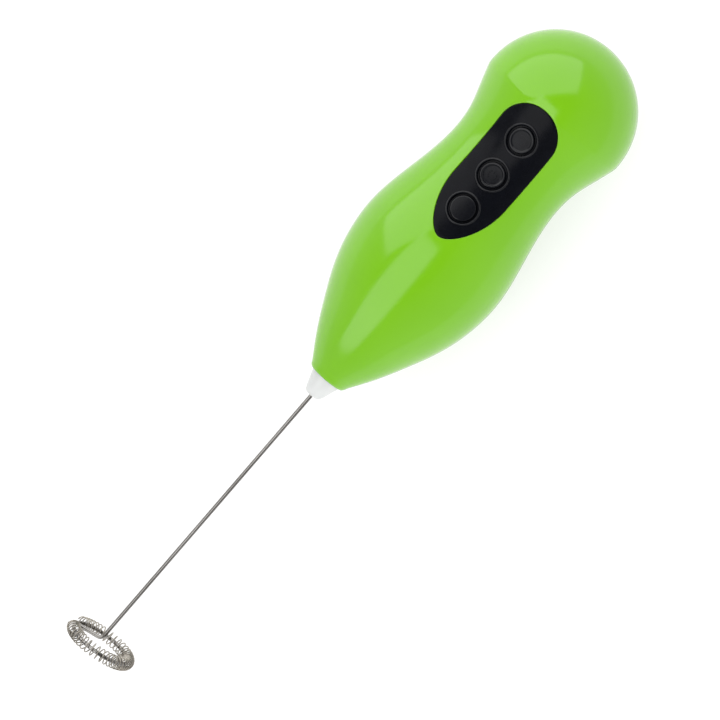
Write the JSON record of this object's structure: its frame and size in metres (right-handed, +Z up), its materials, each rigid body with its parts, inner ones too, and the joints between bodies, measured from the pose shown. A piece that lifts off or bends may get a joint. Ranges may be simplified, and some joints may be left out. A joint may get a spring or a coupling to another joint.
{
  "type": "battery milk frother",
  "caption": "Hand-held battery milk frother: waisted green handle with a round head, black button panel and a coiled wire ring whisk on a thin steel shaft.",
  "frame": {"origin": "on the table under the middle of the frother's outline, as it lies on its back", "axes": "+X along the handle from the whisk to the round head, +Z up out of the buttons"},
  "size_m": [0.2244, 0.0458, 0.0454],
  "materials": {
    "green_shell": "glossy lime green ABS, faint moulding waviness",
    "milky_plastic": "satin milky white, slightly translucent",
    "black_panel": "fine satin soft-touch black",
    "black_button": "satin black elastomer",
    "inner_plastic": "plain moulded light grey",
    "switch_plastic": "moulded black",
    "board": "green solder mask",
    "whisk_steel": "bright drawn stainless wire",
    "motor_steel": "plated steel",
    "magnet": "sintered ferrite",
    "copper": "enamelled copper",
    "brass": "turned brass and bronze",
    "contact_nickel": "nickel-plated spring steel",
    "screw_steel": "zinc-plated steel",
    "cell_can": "printed metal sleeve, no marks",
    "red_lead": "PVC insulation",
    "black_lead": "PVC insulation"
  },
  "bodies": {
    "handle": {"front_shell": "green_shell", "rear_shell": "green_shell", "nose_cone": "milky_plastic", "button_panel": "black_panel", "battery_tray": "inner_plastic", "motor_end_cap": "inner_plastic", "tact_switch_slow": "switch_plastic", "tact_switch_power": "switch_plastic", "tact_switch_fast": "switch_plastic", "circuit_board": "board", "motor_can": "motor_steel", "magnet_left": "magnet", "magnet_right": "magnet", "shaft_bush": "brass", "brush_upper": "brass", "brush_lower": "brass", "motor_terminal_left": "brass", "motor_terminal_right": "brass", "contact_positive": "contact_nickel", "contact_negative": "contact_nickel", "contact_bridge": "contact_nickel", "battery_spring_front": "contact_nickel", "battery_spring_rear": "contact_nickel", "case_screw_1": "screw_steel", "case_screw_2": "screw_steel", "case_screw_3": "screw_steel", "case_screw_4": "screw_steel", "case_screw_5": "screw_steel", "board_screw_1": "screw_steel", "board_screw_2": "screw_steel", "battery_left": "cell_can", "battery_right": "cell_can", "motor_lead_red": "red_lead", "motor_lead_black": "black_lead"},
    "whisk": {"whisk_wire": "whisk_steel", "whisk_coil": "whisk_steel", "shaft_coupling": "brass", "motor_shaft": "motor_steel", "armature_core": "motor_steel", "armature_winding_1": "copper", "armature_winding_2": "copper", "armature_winding_3": "copper", "commutator": "copper"},
    "battery_door": {"battery_door": "green_shell"},
    "slow_button": {"slow_button": "black_button"},
    "power_button": {"power_button": "black_button"},
    "fast_button": {"fast_button": "black_button"}
  },
  "joints": [
    {"name": "whisk_spin", "type": "hinge", "parent": "handle", "child": "whisk", "pos_m": [0, 0, 0.0225], "axis": [1, 0, 0], "continuous": true},
    {"name": "slow_press", "type": "slide", "parent": "handle", "child": "slow_button", "axis": [0, 0, -1], "range_m": [0, 0.0006], "stiffness_N_per_m": 1500},
    {"name": "power_press", "type": "slide", "parent": "handle", "child": "power_button", "axis": [0, 0, -1], "range_m": [0, 0.0006], "stiffness_N_per_m": 1500},
    {"name": "fast_press", "type": "slide", "parent": "handle", "child": "fast_button", "axis": [0, 0, -1], "range_m": [0, 0.0006], "stiffness_N_per_m": 1500},
    {"name": "battery_door_lift", "type": "slide", "parent": "handle", "child": "battery_door", "axis": [0, 0, -1], "range_m": [0, 0.03]}
  ]
}
